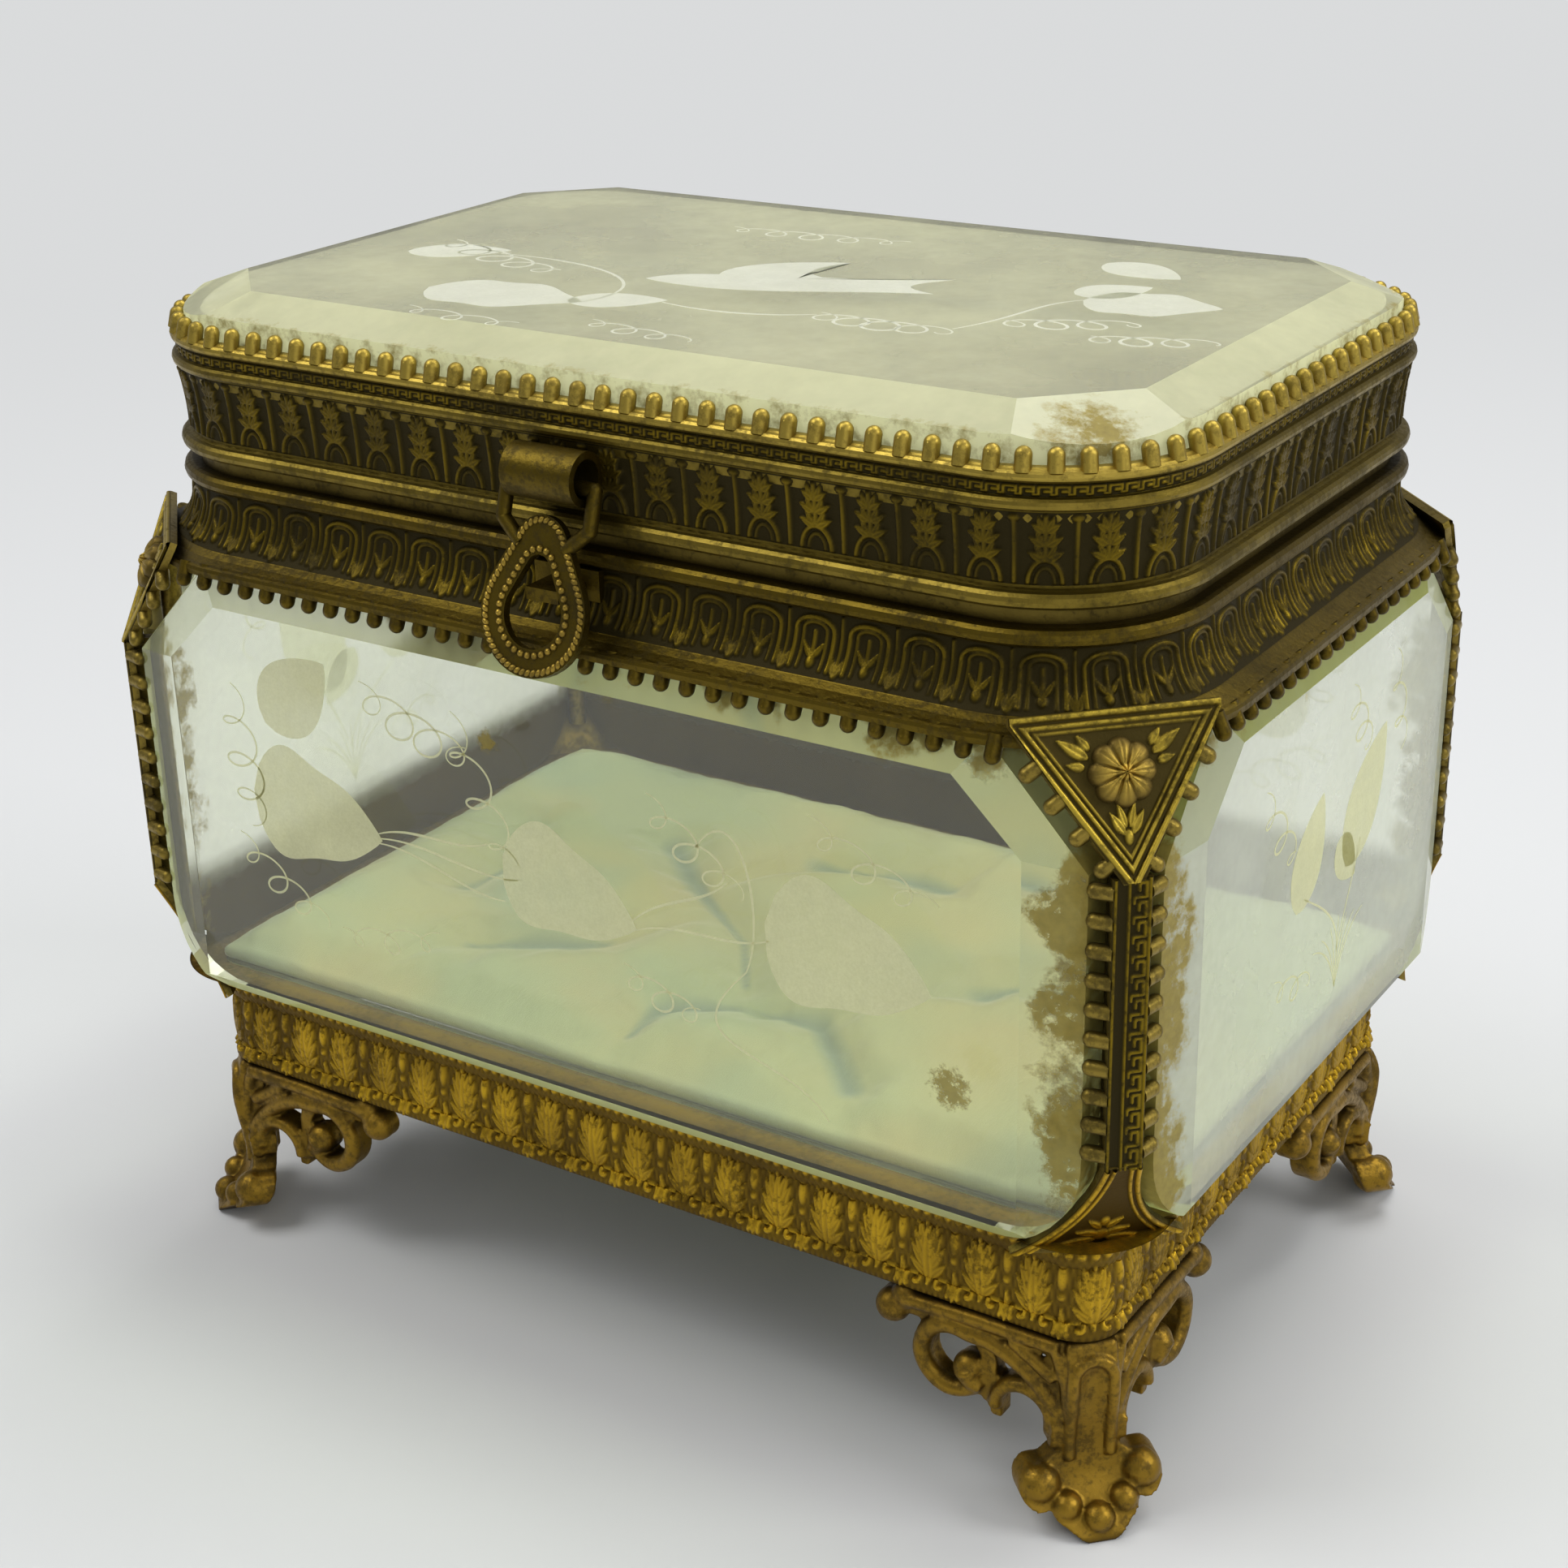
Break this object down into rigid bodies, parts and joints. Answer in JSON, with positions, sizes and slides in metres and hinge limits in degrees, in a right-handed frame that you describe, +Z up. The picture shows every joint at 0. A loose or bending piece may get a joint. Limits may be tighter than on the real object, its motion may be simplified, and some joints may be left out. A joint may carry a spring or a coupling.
{
  "type": "glass casket box",
  "caption": "Footed jewellery casket of thick bevelled glass in a stamped gilt metal frame, with a hinged lid, a hasp and a silk pad.",
  "frame": {"origin": "on the ground under the middle of the whole box", "axes": "+X along the long front towards the right, +Y from the front to the hinges at the back, +Z up"},
  "size_m": [0.1402, 0.098, 0.122],
  "materials": {
    "gilt": "aged gilt brass, bright on the high spots",
    "dark_gilt": "stamped gilt brass with dark patina in the hollows",
    "glass": "thick polished bevelled glass, faintly green, engraved",
    "silk": "soft pale silk pad"
  },
  "bodies": {
    "body": {"base_band": "gilt", "bottom_glass": "glass", "silk_pad": "silk", "front_glass": "glass", "back_glass": "glass", "left_glass": "glass", "right_glass": "glass", "post_front_left": "dark_gilt", "post_front_right": "dark_gilt", "post_back_left": "dark_gilt", "post_back_right": "dark_gilt", "rosette_front_left": "gilt", "rosette_front_right": "gilt", "rosette_back_left": "gilt", "rosette_back_right": "gilt", "foot_front_left": "gilt", "foot_front_right": "gilt", "foot_back_left": "gilt", "foot_back_right": "gilt", "collar": "dark_gilt", "collar_liner": "gilt", "catch": "gilt", "hinge_leaf_left": "gilt", "hinge_leaf_right": "gilt", "pin_left": "gilt", "pin_right": "gilt"},
    "lid": {"lid_frame": "dark_gilt", "lid_ledge": "gilt", "lid_glass": "glass", "lid_leaf_left": "gilt", "lid_leaf_right": "gilt", "clasp_tube": "gilt"},
    "hasp": {"hasp_bail": "gilt", "hasp": "gilt"}
  },
  "joints": [
    {"name": "lid_hinge", "type": "hinge", "parent": "body", "child": "lid", "pos_m": [0, 0.04577, 0.10275], "axis": [-1, 0, 0], "range_deg": [0, 100]},
    {"name": "hasp_swing", "type": "hinge", "parent": "lid", "child": "hasp", "pos_m": [0, -0.04258, 0.1091], "axis": [-1, 0, 0], "range_deg": [-4.5, 90]}
  ]
}
